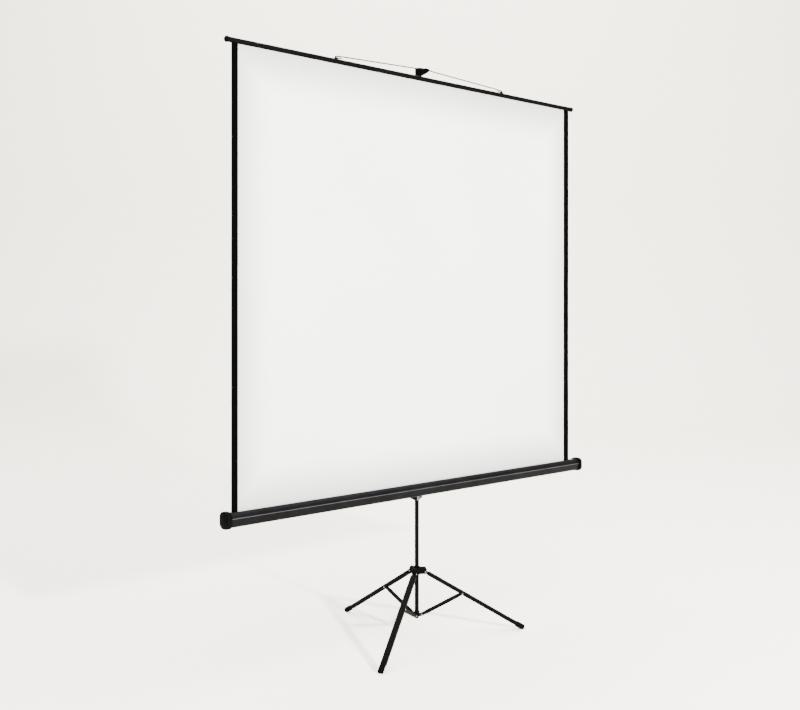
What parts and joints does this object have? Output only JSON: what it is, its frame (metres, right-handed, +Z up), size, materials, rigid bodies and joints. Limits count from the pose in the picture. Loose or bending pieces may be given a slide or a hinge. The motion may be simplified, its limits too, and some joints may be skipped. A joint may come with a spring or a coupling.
{
  "type": "tripod projection screen",
  "caption": "Portable projection screen: spring roller case on a telescopic mast with folding tripod legs, white fabric with black side margins hung from a hook by a wire bail.",
  "frame": {"origin": "on the floor, under the middle of the part's bounding box", "axes": "+X along the screen to the viewer's right, +Y away from the viewer, +Z up along the mast"},
  "size_m": [2.108, 0.7566, 2.515],
  "materials": {
    "black_tube": "satin black powder coat",
    "case_paint": "semi-gloss charcoal paint",
    "black_plastic": "moulded, fine grain",
    "bright_steel": "zinc plated",
    "wire_steel": "drawn steel wire",
    "white_fabric": "matte white coated fabric",
    "black_fabric": "matte black printed margin"
  },
  "bodies": {
    "stand": {"mast_tube": "black_tube", "lower_hub": "black_plastic", "mast_collar": "black_plastic"},
    "catch_button": {"catch_button": "black_plastic"},
    "extension": {"mast_extension": "black_tube", "hook_head": "black_plastic", "top_rail": "black_tube", "rail_cap_left": "black_plastic", "rail_cap_right": "black_plastic", "eyelet_left": "wire_steel", "eyelet_right": "wire_steel", "bail_wire": "wire_steel", "screen_fabric": "white_fabric", "border_left": "black_fabric", "border_right": "black_fabric"},
    "hub": {"tripod_hub": "black_plastic", "hub_rivet_1": "bright_steel", "hub_rivet_2": "bright_steel", "hub_rivet_3": "bright_steel"},
    "carriage": {"carriage": "black_plastic", "catch_plate": "bright_steel"},
    "lock_knob": {"lock_knob": "bright_steel"},
    "case": {"case_shell": "case_paint", "end_cap_left": "black_plastic", "end_cap_right": "black_plastic", "case_bracket": "black_tube", "pivot_bolt": "bright_steel", "idle_pin": "bright_steel", "spring_spindle": "bright_steel", "torsion_spring": "wire_steel"},
    "roller": {"roller_tube": "bright_steel", "roller_plug_left": "black_plastic", "roller_plug_right": "black_plastic", "fabric_roll": "white_fabric"},
    "leg_1": {"leg_1": "black_tube", "foot_1": "black_plastic", "leg_bracket_1": "black_plastic", "strut_rivet_1": "bright_steel"},
    "strut_1": {"strut_1": "black_tube", "lower_rivet_1": "bright_steel"},
    "leg_2": {"leg_2": "black_tube", "foot_2": "black_plastic", "leg_bracket_2": "black_plastic", "strut_rivet_2": "bright_steel"},
    "strut_2": {"strut_2": "black_tube", "lower_rivet_2": "bright_steel"},
    "leg_3": {"leg_3": "black_tube", "foot_3": "black_plastic", "leg_bracket_3": "black_plastic", "strut_rivet_3": "bright_steel"},
    "strut_3": {"strut_3": "black_tube", "lower_rivet_3": "bright_steel"}
  },
  "joints": [
    {"name": "tripod_slide", "type": "slide", "parent": "stand", "child": "hub", "axis": [0, 0, 1], "range_m": [0, 0.21296]},
    {"name": "mast_extension", "type": "slide", "parent": "stand", "child": "extension", "axis": [0, 0, 1], "range_m": [-0.7, 0.25], "deforming": ["screen_fabric", "border_left", "border_right"]},
    {"name": "catch_button_press", "type": "slide", "parent": "stand", "child": "catch_button", "axis": [0, -1, 0], "range_m": [0, 0.003], "stiffness_N_per_m": 500},
    {"name": "carriage_slide", "type": "slide", "parent": "stand", "child": "carriage", "axis": [0, 0, 1], "range_m": [-0.05, 0.45], "deforming": ["screen_fabric", "border_left", "border_right"]},
    {"name": "lock_knob_turn", "type": "hinge", "parent": "carriage", "child": "lock_knob", "pos_m": [-0.02, -0.12203, 0.616], "axis": [1, 0, 0], "range_deg": [0, 360]},
    {"name": "case_tilt", "type": "hinge", "parent": "carriage", "child": "case", "pos_m": [-0.02, -0.14403, 0.663], "axis": [0, 1, 0], "range_deg": [-30, 30], "deforming": ["screen_fabric", "border_left", "border_right"]},
    {"name": "roller_turn", "type": "hinge", "parent": "case", "child": "roller", "pos_m": [-0.02, -0.17403, 0.663], "axis": [1, 0, 0], "range_deg": [-819.51, 2292.83]},
    {"name": "leg_1_fold", "type": "hinge", "parent": "hub", "child": "leg_1", "pos_m": [-0.05291, -0.14103, 0.285], "axis": [0.5, -0.866, 0], "range_deg": [0, 58.7]},
    {"name": "strut_1_fold", "type": "hinge", "parent": "leg_1", "child": "strut_1", "pos_m": [-0.19911, -0.22544, 0.17768], "axis": [0.5, -0.866, 0], "range_deg": [-121.05, 0]},
    {"name": "leg_2_fold", "type": "hinge", "parent": "hub", "child": "leg_2", "pos_m": [0.01291, -0.14103, 0.285], "axis": [0.5, 0.866, 0], "range_deg": [0, 58.7]},
    {"name": "strut_2_fold", "type": "hinge", "parent": "leg_2", "child": "strut_2", "pos_m": [0.15911, -0.22544, 0.17768], "axis": [0.5, 0.866, 0], "range_deg": [-121.05, 0]},
    {"name": "leg_3_fold", "type": "hinge", "parent": "hub", "child": "leg_3", "pos_m": [-0.02, -0.08403, 0.285], "axis": [-1, 0, 0], "range_deg": [0, 58.7]},
    {"name": "strut_3_fold", "type": "hinge", "parent": "leg_3", "child": "strut_3", "pos_m": [-0.02, 0.08478, 0.17768], "axis": [-1, 0, 0], "range_deg": [-121.05, 0]}
  ],
  "couplings": [
    {"joint": "roller_turn", "follows": "mast_extension", "rad_per_m": -57.143},
    {"joint": "leg_1_fold", "follows": "tripod_slide", "rad_per_m": 4.8108},
    {"joint": "strut_1_fold", "follows": "tripod_slide", "rad_per_m": -9.9205},
    {"joint": "leg_2_fold", "follows": "tripod_slide", "rad_per_m": 4.8108},
    {"joint": "strut_2_fold", "follows": "tripod_slide", "rad_per_m": -9.9205},
    {"joint": "leg_3_fold", "follows": "tripod_slide", "rad_per_m": 4.8108},
    {"joint": "strut_3_fold", "follows": "tripod_slide", "rad_per_m": -9.9205}
  ]
}
